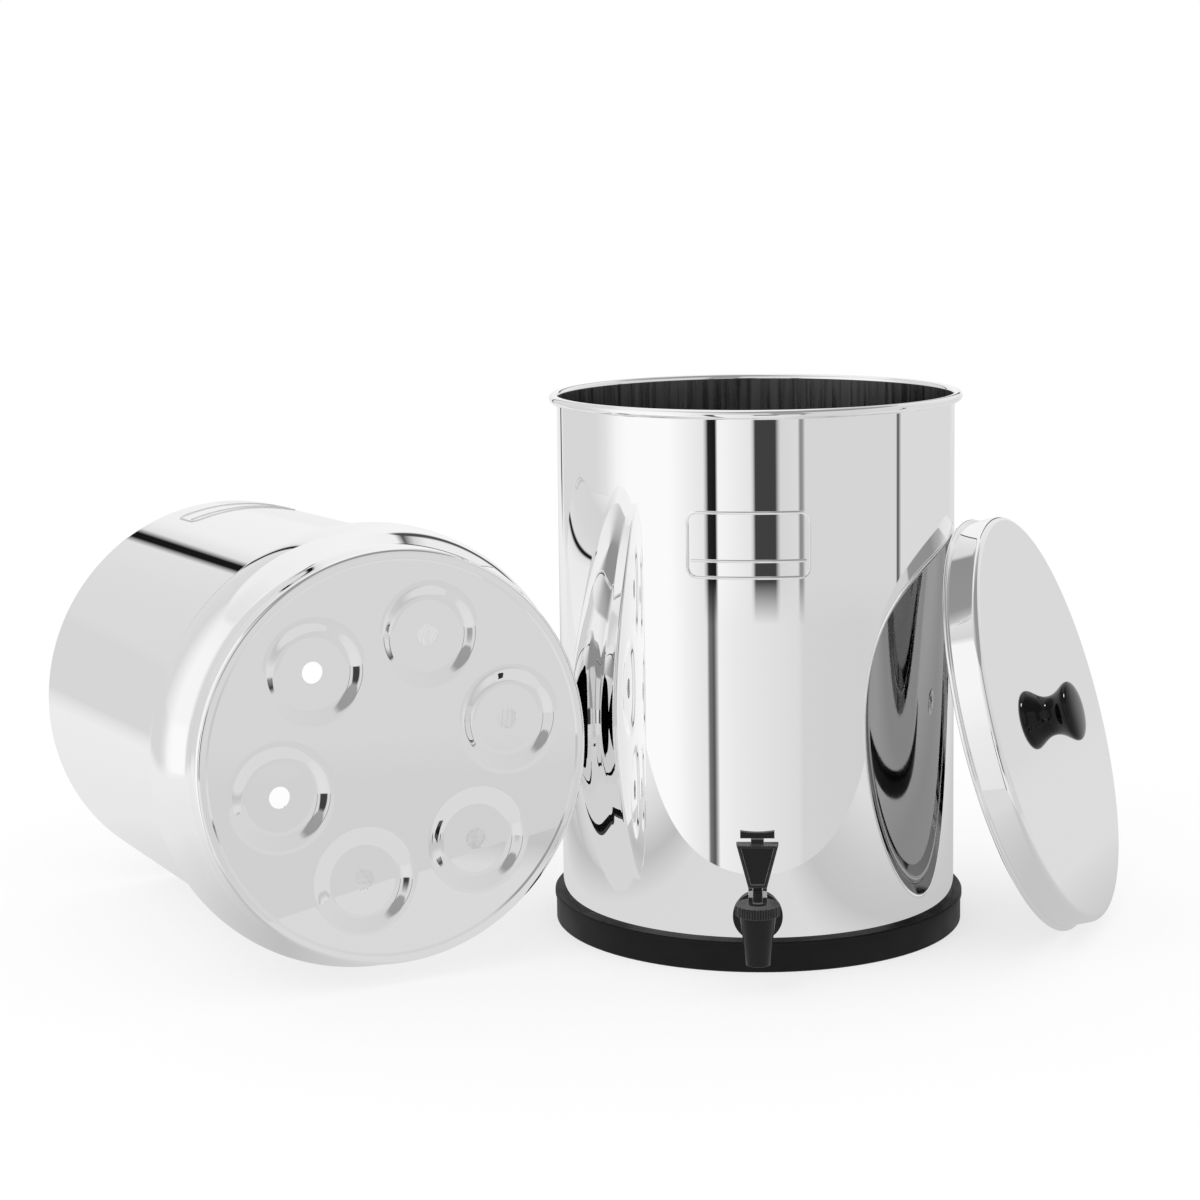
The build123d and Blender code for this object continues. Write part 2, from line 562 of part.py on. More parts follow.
for number, side in ((1, -1), (2, 1)):
    spot = Pos(side * ELEMENT_X, ELEMENT_Y, 0)
    write(f"filter_{number}_cartridge", spot * element_cartridge())
    write(f"filter_{number}_base", spot * element_base())
    write(f"filter_{number}_seal", spot * element_seal())
    write(f"filter_{number}_wing_nut", spot * wing_nut())
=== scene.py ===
import json
import logging
from collections.abc import Sequence
from dataclasses import dataclass, field
from enum import Enum
from math import acos, cos, hypot, pi, radians, sin

import bmesh
import bpy
from mathutils import Matrix, Vector
from mathutils.geometry import delaunay_2d_cdt


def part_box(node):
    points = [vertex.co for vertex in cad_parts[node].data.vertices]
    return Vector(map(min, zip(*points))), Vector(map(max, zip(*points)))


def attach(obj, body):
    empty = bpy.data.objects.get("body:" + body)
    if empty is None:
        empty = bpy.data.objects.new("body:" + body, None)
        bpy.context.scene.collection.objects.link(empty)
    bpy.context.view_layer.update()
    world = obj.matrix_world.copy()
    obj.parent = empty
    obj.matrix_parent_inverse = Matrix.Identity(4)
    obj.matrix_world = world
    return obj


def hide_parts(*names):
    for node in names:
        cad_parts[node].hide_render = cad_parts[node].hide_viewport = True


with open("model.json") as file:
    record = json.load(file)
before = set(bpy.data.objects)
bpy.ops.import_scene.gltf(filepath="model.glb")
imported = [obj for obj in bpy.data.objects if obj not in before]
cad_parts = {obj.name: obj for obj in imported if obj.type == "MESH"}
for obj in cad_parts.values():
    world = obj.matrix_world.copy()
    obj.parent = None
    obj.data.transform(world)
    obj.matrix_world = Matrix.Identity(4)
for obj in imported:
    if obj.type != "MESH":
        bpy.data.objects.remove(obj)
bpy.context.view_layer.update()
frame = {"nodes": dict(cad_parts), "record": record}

log = logging.getLogger("water_filter")

MM = 0.001                 # sizes below are in millimetres, as in the part's drawings
UP = Vector((0, 0, 1))

# ---- sizes shared with the part -------------------------------------------------------------
SHEET = 0.9                # thickness of the pressed steel sheet
HALF = SHEET / 2
FACE_GAP = 0.05            # gap between faces that are pressed together
LOWER_R = 126.0            # outer radius of the lower chamber's body
RIM_TUBE_R = 2.9           # outer radius of its rolled rim's tube
UPPER_R = 128.4            # outer radius of the upper chamber's body

# ---- how finely meshes are made ---------------------------------------------------------------
AXIS_R = 0.01              # a closed disc is turned from this radius, next to its axis
AROUND = 320               # steps in a full turn of a chamber or the lid
SAME_MM = 1e-4             # flat points nearer than this are one, in millimetres
SAME_M = 1e-6              # mesh points nearer than this are one, in metres
LEAST_MITRE = 0.3          # an outline's corners reach out no further than its inverse
FILLED_INSIDE = 1          # the flat fill's mode that keeps only what lies inside its rings

Point = tuple[float, float]


# ---- nodes and colours ----------------------------------------------------------------------
def linear(hex_colour: str) -> tuple[float, float, float, float]:
    """Turns an sRGB hex colour to linear light.

    Args:
        hex_colour: Six hex digits, such as "F2F2F0".

    Returns:
        Red, green, blue and an alpha of 1.
    """
    parts = [int(hex_colour[i:i + 2], 16) / 255 for i in (0, 2, 4)]
    light = [c / 12.92 if c <= 0.04045 else ((c + 0.055) / 1.055) ** 2.4 for c in parts]
    return (*light, 1.0)


def add_node(tree: bpy.types.NodeTree, kind: str, settings: dict | None = None,
             links: dict | None = None) -> bpy.types.Node:
    """Adds a node with its settings and links.

    Args:
        tree: The node tree that gets the node.
        kind: Blender's name of the node type.
        settings: Input names or numbers, or property names, with their values.
        links: Input names or numbers with the output sockets that feed them.

    Returns:
        The new node.
    """
    node = tree.nodes.new(kind)
    for name, value in (settings or {}).items():
        if isinstance(name, int) or name in node.inputs:
            node.inputs[name].default_value = value
        else:
            setattr(node, name, value)
    for name, socket in (links or {}).items():
        tree.links.new(socket, node.inputs[name])
    return node


# ---- finishes -------------------------------------------------------------------------------
PATCH_RANGE = (0.35, 0.65)    # noise values over which one colour gives way to the other
DRIFT_RANGE = (0.3, 0.7)      # noise values over which the roughness drifts
EDGE_RANGE = (0.995, 0.9)     # cosines of true and softened normal, from no painted edge highlight to full
EDGE_SAMPLES = 6


@dataclass(frozen=True)
class Finish:
    """A real material with the surface that its making leaves."""

    name: str
    slot: str
    colour: str
    roughness: float
    metallic: float = 0.0
    specular: float = 0.5
    sheen: float = 0.0
    mottle: str = ""              # second colour, for worn or pressed surfaces
    mottle_mm: float = 6.0        # size of a patch of the second colour
    mottle_share: float = 0.5
    rough_spread: float = 0.0     # how much the roughness varies from place to place
    rough_mm: float = 25.0
    rough_tall: float = 1.0       # how far its patches are drawn out along the piece's height
    grain_mm: float = 0.0         # size of one bump of the surface's grain
    grain_deep: float = 0.0       # height of that grain, in millimetres
    wave_mm: float = 0.0          # length of the slow waves that forming leaves
    wave_deep: float = 0.0
    edge: str = ""                # colour of its painted edge highlight, where edges would catch the light
    edge_mm: float = 0.5          # how far the painted edge highlight reaches from an edge

    def material(self) -> bpy.types.Material:
        """Builds the material once, and gives the same one each time after that."""
        known = bpy.data.materials.get(self.name)
        if known:
            return known
        made = bpy.data.materials.new(self.name)
        made.use_nodes = True
        tree = made.node_tree
        tree.nodes.clear()
        shader = add_node(tree, "ShaderNodeBsdfPrincipled", {
            "Base Color": linear(self.colour), "Roughness": self.roughness,
            "Metallic": self.metallic, "Specular IOR Level": self.specular,
            "Sheen Weight": self.sheen,
        })
        place = add_node(tree, "ShaderNodeTexCoord").outputs["Object"]
        if self.mottle:
            self._mottled(tree, shader, place)
        # Lighter edges are a painted highlight.
        if self.edge:
            self._painted_edge_highlight(tree, shader)
        if self.rough_spread:
            self._handled(tree, shader, place)
        relief = self._relief(tree, place)
        if relief:
            tree.links.new(relief, shader.inputs["Normal"])
        add_node(tree, "ShaderNodeOutputMaterial", links={"Surface": shader.outputs["BSDF"]})
        return made

    def _mottled(self, tree: bpy.types.NodeTree, shader: bpy.types.Node,
                 place: bpy.types.NodeSocket) -> None:
        """Mixes the second colour in, in soft patches."""
        patches = add_node(tree, "ShaderNodeTexNoise",
                           {"Scale": 1 / (self.mottle_mm * MM), "Detail": 4.0}, {"Vector": place})
        level = add_node(tree, "ShaderNodeMapRange", {
            "From Min": PATCH_RANGE[0], "From Max": PATCH_RANGE[1], "To Max": self.mottle_share,
        }, {"Value": patches.outputs[0]})
        mix = add_node(tree, "ShaderNodeMix", {
            "data_type": "RGBA", 6: linear(self.colour), 7: linear(self.mottle),
        }, {0: level.outputs[0]})
        tree.links.new(mix.outputs[2], shader.inputs["Base Color"])

    def _painted_edge_highlight(self, tree: bpy.types.NodeTree, shader: bpy.types.Node) -> None:
        """Lightens the edges: a painted highlight, where they would catch the light."""
        true = add_node(tree, "ShaderNodeNewGeometry").outputs["Normal"]
        soft = add_node(tree, "ShaderNodeBevel",
                        {"samples": EDGE_SAMPLES, "Radius": self.edge_mm * MM})
        near = add_node(tree, "ShaderNodeVectorMath", {"operation": "DOT_PRODUCT"},
                        {0: true, 1: soft.outputs[0]})
        level = add_node(tree, "ShaderNodeMapRange", {
            "From Min": EDGE_RANGE[0], "From Max": EDGE_RANGE[1],
        }, {"Value": near.outputs["Value"]})
        mix = add_node(tree, "ShaderNodeMix", {
            "data_type": "RGBA", 6: linear(self.colour), 7: linear(self.edge),
        }, {0: level.outputs[0]})
        tree.links.new(mix.outputs[2], shader.inputs["Base Color"])

    def _handled(self, tree: bpy.types.NodeTree, shader: bpy.types.Node,
                 place: bpy.types.NodeSocket) -> None:
        """Lets the roughness drift a little, as wiping and handling leave it."""
        drawn = add_node(tree, "ShaderNodeMapping", {"Scale": (1, 1, 1 / self.rough_tall)},
                         {"Vector": place})
        drift = add_node(tree, "ShaderNodeTexNoise",
                         {"Scale": 1 / (self.rough_mm * MM), "Detail": 3.0},
                         {"Vector": drawn.outputs[0]})
        level = add_node(tree, "ShaderNodeMapRange", {
            "From Min": DRIFT_RANGE[0], "From Max": DRIFT_RANGE[1],
            "To Min": max(self.roughness - self.rough_spread, 0.0),
            "To Max": self.roughness + self.rough_spread,
        }, {"Value": drift.outputs[0]})
        tree.links.new(level.outputs[0], shader.inputs["Roughness"])

    def _relief(self, tree: bpy.types.NodeTree,
                place: bpy.types.NodeSocket) -> bpy.types.NodeSocket | None:
        """Grain and slow waves as bumps, chained where a surface has both."""
        relief = None
        for size, deep, detail in ((self.wave_mm, self.wave_deep, 0.0),
                                   (self.grain_mm, self.grain_deep, 2.0)):
            if not size:
                continue
            noise = add_node(tree, "ShaderNodeTexNoise",
                             {"Scale": 1 / (size * MM), "Detail": detail}, {"Vector": place})
            bump = add_node(tree, "ShaderNodeBump", {"Strength": 1.0, "Distance": deep * MM},
                            {"Height": noise.outputs[0]})
            if relief:
                tree.links.new(relief, bump.inputs["Normal"])
            relief = bump.outputs["Normal"]
        return relief


class Finishes(Enum):
    """Every finish on the filter."""

    # Mirror-polished 304 sheet: a clear image of the room, bent a little by the drawing marks.
    POLISHED_STAINLESS = Finish(
        "polished_stainless_steel", "polished_steel", "FAFAFA", 0.012, metallic=1.0,
        rough_spread=0.005, rough_mm=60.0, wave_mm=70.0, wave_deep=0.02)
    # Pressed ridges: a rougher line, in a greyer colour that is painted shade along the ridges.
    PRESSED_STAINLESS = Finish(
        "pressed_stainless_steel", "polished_steel", "DADADA", 0.3, metallic=1.0,
        rough_spread=0.05, rough_mm=4.0)
    # Inside of the upper chamber, left satin from drawing: a broad blur, drawn out up the wall.
    DRAWN_STAINLESS = Finish(
        "drawn_stainless_steel", "polished_steel", "F4F4F4", 0.4, metallic=1.0,
        rough_spread=0.08, rough_mm=3.0, rough_tall=30.0)
    # Inside of the lower chamber: the same satin, in a darker colour that is painted shade of the
    # pot's inside.
    SHADED_SATIN_STAINLESS = Finish(
        "shaded_satin_stainless_steel", "polished_steel", "7C7C7C", 0.3, metallic=1.0,
        rough_spread=0.1, rough_mm=3.0, rough_tall=30.0)
    # Inside of the lid: a clear image like the outside's, in a darker colour that is painted shade
    # of the lid's inside.
    SHADED_LID_STAINLESS = Finish(
        "shaded_lid_stainless_steel", "polished_steel", "B0B0B0", 0.06, metallic=1.0,
        rough_spread=0.02, rough_mm=20.0)
    # Moulded nitrile rubber: deep black with a soft, wide highlight.
    MOULDED_RUBBER = Finish(
        "moulded_black_rubber", "black_rubber", "101010", 0.5, specular=0.16, rough_spread=0.06,
        grain_mm=0.8, grain_deep=0.01, mottle="181818", mottle_mm=20.0)
    # Grey rubber seals and stoppers: matt, with a dusty bloom.
    GREY_RUBBER = Finish(
        "moulded_grey_rubber", "grey_rubber", "5B5C5E", 0.6, sheen=0.1, mottle="6A6B6D",
        mottle_mm=8.0, grain_mm=0.7, grain_deep=0.01)
    # Glass-filled nylon tap: black, satin, with a faint moulding grain and lighter edges that are a
    # painted highlight.
    MOULDED_NYLON = Finish(
        "moulded_black_nylon", "tap_plastic", "0C0C0D", 0.28, specular=0.28, rough_spread=0.05,
        rough_mm=12.0, grain_mm=0.6, grain_deep=0.006, edge="4A4B4D", edge_mm=0.7)
    # Phenolic knob: black and glossy, so that it shows the studio as small sharp lights.
    POLISHED_PHENOLIC = Finish(
        "polished_black_phenolic", "knob_plastic", "050505", 0.07, specular=0.3,
        rough_spread=0.02, rough_mm=15.0)
    # Silicone seat cup: milky and soft.
    MOULDED_SILICONE = Finish(
        "moulded_silicone", "silicone", "D9D7D0", 0.4, mottle="CFCDC5", mottle_mm=3.0)
    # Zinc-plated fasteners: bright grey with a fine satin.
    PLATED_STEEL = Finish(
        "zinc_plated_steel", "fastener_steel", "C4C6C8", 0.25, metallic=1.0, rough_spread=0.06,
        rough_mm=3.0)
    # Turned brass insert: yellow, with tool marks.
    TURNED_BRASS = Finish(
        "turned_brass", "brass", "C9A24A", 0.3, metallic=1.0, grain_mm=0.5, grain_deep=0.004)
    # Pressed carbon block: black-grey grains that show as a rough, dusty face.
    PRESSED_CARBON = Finish(
        "pressed_carbon_block", "carbon_block", "232323", 0.85, mottle="343434", mottle_mm=1.5,
        mottle_share=0.8, grain_mm=1.2, grain_deep=0.15)
    # White polypropylene base and wing nut: clean and slightly waxy.
    MOULDED_POLYPROPYLENE = Finish(
        "moulded_white_polypropylene", "white_plastic", "E4E4E0", 0.35, sheen=0.05,
        mottle="DEDEDA", mottle_mm=15.0, grain_mm=1.0, grain_deep=0.008)


# ---- mesh tools -----------------------------------------------------------------------------
@dataclass
class Profile:
    """A half section of pressed sheet: a middle line that is bent, and may end in a roll.

    x is the radius and y the height, in millimetres.
    """

    points: list[Point] = field(default_factory=list)
    bend_steps: int = 10
    hold: float = 0.5      # extra points this near to a bend keep the flats flat
    lined: int = 0         # number of stretches of the wall, before the roll

    def bent(self, corners: Sequence[tuple[float, float, float]]) -> "Profile":
        """Adds a run of straight stretches with rounded corners.

        Args:
            corners: Radius, height and bend radius of each corner, 0 for a sharp one.

        Returns:
            This profile, so that a roll can follow.
        """
        last = len(corners) - 1
        for i, (x, y, bend) in enumerate(corners):
            here = Vector((x, y))
            if i in (0, last) or not bend:
                self._straight_to(here)
                continue
            back = (Vector(corners[i - 1][:2]) - here).normalized()
            ahead = (Vector(corners[i + 1][:2]) - here).normalized()
            half_angle = acos(max(-1.0, min(1.0, back.dot(ahead)))) / 2
            reach = bend / (sin(half_angle) / cos(half_angle))
            centre = here + (back + ahead).normalized() * (bend / sin(half_angle))
            start = here + back * reach - centre
            turn = pi - 2 * half_angle
            sign = 1 if back.x * ahead.y - back.y * ahead.x < 0 else -1
            self._straight_to(centre + start)
            for step in range(1, self.bend_steps + 1):
                angle = sign * turn * step / self.bend_steps
                arm = Matrix.Rotation(angle, 2) @ start
                self.points.append(tuple(centre + arm))
        self.lined = len(self.points) - 1
        return self

    def _straight_to(self, end: Vector) -> None:
        """Adds a straight stretch with a holding point near each end."""
        if self.points:
            start = Vector(self.points[-1])
            run = end - start
            if run.length > 3 * self.hold:
                step = run.normalized() * self.hold
                self.points += [tuple(start + step), tuple(end - step)]
        self.points.append(tuple(end))

    def roll(self, centre: Point, sweep: float, steps: int = 26) -> "Profile":
        """Rolls the end of the sheet round a centre.

        Args:
            centre: Middle of the roll.
            sweep: Degrees, positive for anticlockwise.
            steps: Number of short chords.

        Returns:
            This profile.
        """
        middle = Vector(centre)
        start = Vector(self.points[-1]) - middle
        for step in range(1, steps + 1):
            arm = Matrix.Rotation(radians(sweep) * step / steps, 2) @ start
            self.points.append(tuple(middle + arm))
        return self

    def outline(self) -> list[Point]:
        """Gives the sheet's closed outline, on both sides of the middle line."""
        line = [Vector(p) for p in self.points]
        left, right = [], []
        for i, here in enumerate(line):
            before = (here - line[i - 1]).normalized() if i else None
            after = (line[i + 1] - here).normalized() if i + 1 < len(line) else None
            along = ((before or after) + (after or before)).normalized()
            across = Vector((-along.y, along.x))
            lean = across.dot(Vector((-(after or before).y, (after or before).x)))
            reach = across * (HALF / max(lean, LEAST_MITRE))
            left.append(tuple(here + reach))
            right.append(tuple(here - reach))
        return left + right[::-1]


@dataclass
class Shell:
    """Collects a piece's points and faces in its own frame, and makes one object of them."""

    name: str
    points: list[Vector] = field(default_factory=list)
    faces: list[tuple[int, ...]] = field(default_factory=list)
    inner: list[int] = field(default_factory=list)

    def turn(self, outline: Sequence[Point], around: int, centre: Point = (0, 0),
             lined: int = 0) -> None:
        """Turns a closed outline about an upright axis.

        Args:
            outline: Radius and height of each point, in order.
            around: Number of steps in the full turn.
            centre: Where the axis stands.
            lined: Number of the outline's first stretches that are the chamber's inside.
        """
        base, count = len(self.points), len(outline)
        for step in range(around):
            c, s = cos(2 * pi * step / around), sin(2 * pi * step / around)
            self.points += [Vector((centre[0] + r * c, centre[1] + r * s, z)) for r, z in outline]
        for step in range(around):
            a, b = base + step * count, base + (step + 1) % around * count
            for i in range(count):
                j = (i + 1) % count
                if i < lined:
                    self.inner.append(len(self.faces))
                self.faces.append((a + i, a + j, b + j, b + i))

    def sheet(self, rings: Sequence[Sequence[Point]], height: float, flip: bool) -> None:
        """Fills the flat area inside the first ring and outside the others.

        Args:
            rings: Closed rings of points.
            height: Height of the flat area.
            flip: Whether it faces down.
        """
        flat, edges = [], []
        for ring in rings:
            base, count = len(flat), len(ring)
            flat += [Vector(p) for p in ring]
            edges += [(base + i, base + (i + 1) % count) for i in range(count)]
        points, _, triangles, *_ = delaunay_2d_cdt(flat, edges, [], FILLED_INSIDE, SAME_MM)
        holes = []
        for ring in rings[1:]:
            middle = sum((Vector(p) for p in ring), Vector((0, 0))) / len(ring)
            holes.append((middle, (Vector(ring[0]) - middle).length))
        base = len(self.points)
        self.points += [Vector((p.x, p.y, height)) for p in points]
        for triangle in triangles:
            middle = sum((points[i] for i in triangle), Vector((0, 0))) / 3
            if all((middle - spot).length > reach for spot, reach in holes):
                face = tuple(base + i for i in triangle)
                self.faces.append(face[::-1] if flip else face)

    def build(self, place: Matrix, finish: Finish, lining: Finish | None = None,
              sharp: float = 40.0) -> bpy.types.Object:
        """Makes the object, in metres, with smooth faces between its sharp edges.

        Args:
            place: Where the piece's own frame stands, in millimetres.
            finish: What it is made of.
            lining: The finish of its inside, where that differs.
            sharp: Edges that turn more than this many degrees stay sharp.

        Returns:
            The new object.
        """
        mesh = bpy.data.meshes.new(self.name)
        mesh.from_pydata([(place @ p) * MM for p in self.points], [], self.faces)
        mesh.materials.append(finish.material())
        if lining:
            mesh.materials.append(lining.material())
            for i in self.inner:
                mesh.polygons[i].material_index = 1
        weld(mesh)
        mesh.shade_smooth()
        mesh.set_sharp_from_angle(angle=radians(sharp))
        piece = bpy.data.objects.new(self.name, mesh)
        bpy.context.scene.collection.objects.link(piece)
        return piece


def weld(mesh: bpy.types.Mesh) -> None:
    """Joins points that coincide and turns every face outwards."""
    work = bmesh.new()
    work.from_mesh(mesh)
    bmesh.ops.remove_doubles(work, verts=work.verts, dist=SAME_M)
    bmesh.ops.recalc_face_normals(work, faces=work.faces)
    work.to_mesh(mesh)
    work.free()


def circle(centre: Point, radius: float, around: int) -> list[Point]:
    """Points of a circle, anticlockwise from +X."""
    return [(centre[0] + radius * cos(2 * pi * i / around),
             centre[1] + radius * sin(2 * pi * i / around)) for i in range(around)]


def stand_on(origin: Vector, axis: Vector) -> Matrix:
    """A frame with its +Z along a slanted axis and its +X level.

    Args:
        origin: The frame's origin, in millimetres.
        axis: Direction of +Z, which isn't upright.

    Returns:
        The frame as a matrix.
    """
    level = UP.cross(axis).normalized()
    turned = Matrix((level, axis.cross(level), axis)).transposed()
    return Matrix.Translation(origin) @ turned.to_4x4()


def joint_axis(name: str) -> Vector:
    """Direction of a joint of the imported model."""
    return Vector(next(j["axis"] for j in frame["record"]["behaviour"]["joints"]
                       if j["name"] == name))


def box_middle(node: str) -> Vector:
    """Middle of a CAD node's box, in millimetres."""
    low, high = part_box(node)
    return (Vector(low) + Vector(high)) / (2 * MM)


def dress(node: str, finish: Finish) -> bpy.types.Object:
    """Gives a CAD node its finish.

    Args:
        node: Name of the node.
        finish: What it is made of.

    Returns:
        The node's object.
    """
    piece = frame["nodes"][node]
    piece.data.materials.clear()
    piece.data.materials.append(finish.material())
    log.info("%s: %s", node, finish.name)
    return piece


def settle(piece: bpy.types.Object, body: str, finish: Finish, *nodes: str) -> None:
    """Lets a new piece ride on its body and stand for CAD nodes.

    Args:
        piece: The new piece.
        body: The body that carries it.
        finish: What it is made of.
        nodes: The CAD nodes that it stands for.
    """
    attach(piece, body)
    if nodes:
        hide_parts(*nodes)
    log.info("%s on %s: %s", piece.name, body, finish.name)


# ---- raised frame ---------------------------------------------------------------------------
@dataclass
class RaisedFrame:
    """An empty embossed frame with rounded corners, on a round wall."""

    name: str
    body: str
    place: Matrix              # +Z is the wall's axis
    wall_r: float
    middle_angle: float        # degrees about the axis
    middle_z: float
    width: float = 74.0
    tall: float = 38.0
    corner_r: float = 6.0
    ridge_w: float = 2.2
    ridge_deep: float = 0.6
    ridge_sunk: float = 0.03   # its edges lie this far inside the wall
    ridge_steps: int = 8       # across the ridge
    bar_up: float = 10.0       # height of the inner bar above the frame's foot
    corner_steps: int = 8
    straight_steps: int = 24
    finish: Finish = Finishes.POLISHED_STAINLESS.value

    def route(self) -> list[Point]:
        """Closed route of the ridge, flat on the wall."""
        half_w, half_t = self.width / 2 - self.corner_r, self.tall / 2 - self.corner_r
        route: list[Point] = []
        for quarter, (sx, sy) in enumerate(((1, 1), (-1, 1), (-1, -1), (1, -1))):
            for step in range(self.corner_steps + 1):
                turn = pi / 2 * (quarter + step / self.corner_steps)
                route.append((sx * half_w + self.corner_r * cos(turn),
                              sy * half_t + self.corner_r * sin(turn)))
        return self._spread(route, closed=True)

    def _spread(self, route: list[Point], closed: bool) -> list[Point]:
        """Divides long stretches, so that they follow the round wall."""
        longest = self.width / self.straight_steps
        spread: list[Point] = []
        ends = route[1:] + route[:1] if closed else route[1:]
        for start, end in zip(route, ends):
            count = max(1, round(hypot(end[0] - start[0], end[1] - start[1]) / longest))
            spread += [(start[0] + (end[0] - start[0]) * i / count,
                        start[1] + (end[1] - start[1]) * i / count) for i in range(count)]
        return spread if closed else spread + [route[-1]]

    def on_wall(self, along: float, up: float, rise: float) -> Vector:
        """A point of the wall, lifted off it by rise."""
        turn = radians(self.middle_angle) + along / self.wall_r
        r = self.wall_r + rise
        return Vector((r * cos(turn), r * sin(turn), self.middle_z + up))

    def ridge(self, shell: Shell, route: list[Point], closed: bool) -> None:
        """Adds a rounded ridge along a route."""
        base, count, width = len(shell.points), len(route), self.ridge_steps + 1
        for i, (x, y) in enumerate(route):
            before = route[i - 1] if closed or i else route[0]
            after = route[(i + 1) % count] if closed or i + 1 < count else route[-1]
            along = Vector((after[0] - before[0], after[1] - before[1])).normalized()
            for step in range(width):
                off = (step / self.ridge_steps - 0.5) * self.ridge_w
                rise = self.ridge_deep * cos(pi * off / self.ridge_w) ** 2 - self.ridge_sunk
                shell.points.append(self.on_wall(x - along.y * off, y + along.x * off, rise))
        for i in range(count if closed else count - 1):
            a, b = base + i * width, base + (i + 1) % count * width
            for step in range(self.ridge_steps):
                shell.faces.append((a + step, b + step, b + step + 1, a + step + 1))

    def build(self) -> None:
        """Makes the frame and its inner bar."""
        shell = Shell(self.name)
        self.ridge(shell, self.route(), closed=True)
        bar = self.bar_up - self.tall / 2
        end = self.width / 2 - self.ridge_w
        self.ridge(shell, self._spread([(-end, bar), (end, bar)], closed=False), closed=False)
        settle(shell.build(self.place, self.finish), self.body, self.finish)


# ---- lower chamber --------------------------------------------------------------------------
@dataclass
class LowerChamber:
    """Deep-drawn pot with a raised floor panel and a rolled rim, in its rubber ring."""

    top: float = 340.4
    floor: float = 4.5             # middle of the sheet at the foot
    panel_rise: float = 2.5
    panel_r: float = 104.0
    panel_slope: float = 1.5
    foot_bend: float = 5.0
    panel_bend: float = 1.2
    rim_sweep: float = -318.0          # degrees that the rim is rolled, outwards
    frame_at: Point = (-92.0, 259.5)   # degrees about the axis, and height
    frame_tall: float = 39.0

    def build(self) -> None:
        """Makes the pot and its embossed frame, and dresses the ring."""
        # The inside's darker steel colour is painted shade.
        steel, satin = Finishes.POLISHED_STAINLESS.value, Finishes.SHADED_SATIN_STAINLESS.value
        wall = LOWER_R - HALF
        rim_z = self.top - RIM_TUBE_R
        panel_z = self.floor + self.panel_rise
        profile = Profile().bent((
            (AXIS_R, panel_z, 0), (self.panel_r, panel_z, self.panel_bend),
            (self.panel_r + self.panel_slope, self.floor, self.panel_bend),
            (wall, self.floor, self.foot_bend), (wall, rim_z, 0),
        )).roll((LOWER_R - SHEET + RIM_TUBE_R, rim_z), self.rim_sweep)
        shell = Shell("lower_chamber_body")
        shell.turn(profile.outline(), AROUND, lined=profile.lined)
        settle(shell.build(Matrix(), steel, satin), "stand", steel, "lower_chamber")
        RaisedFrame("lower_frame", "stand", Matrix(), LOWER_R, *self.frame_at,
                    tall=self.frame_tall).build()
        dress("base_ring", Finishes.MOULDED_RUBBER.value)


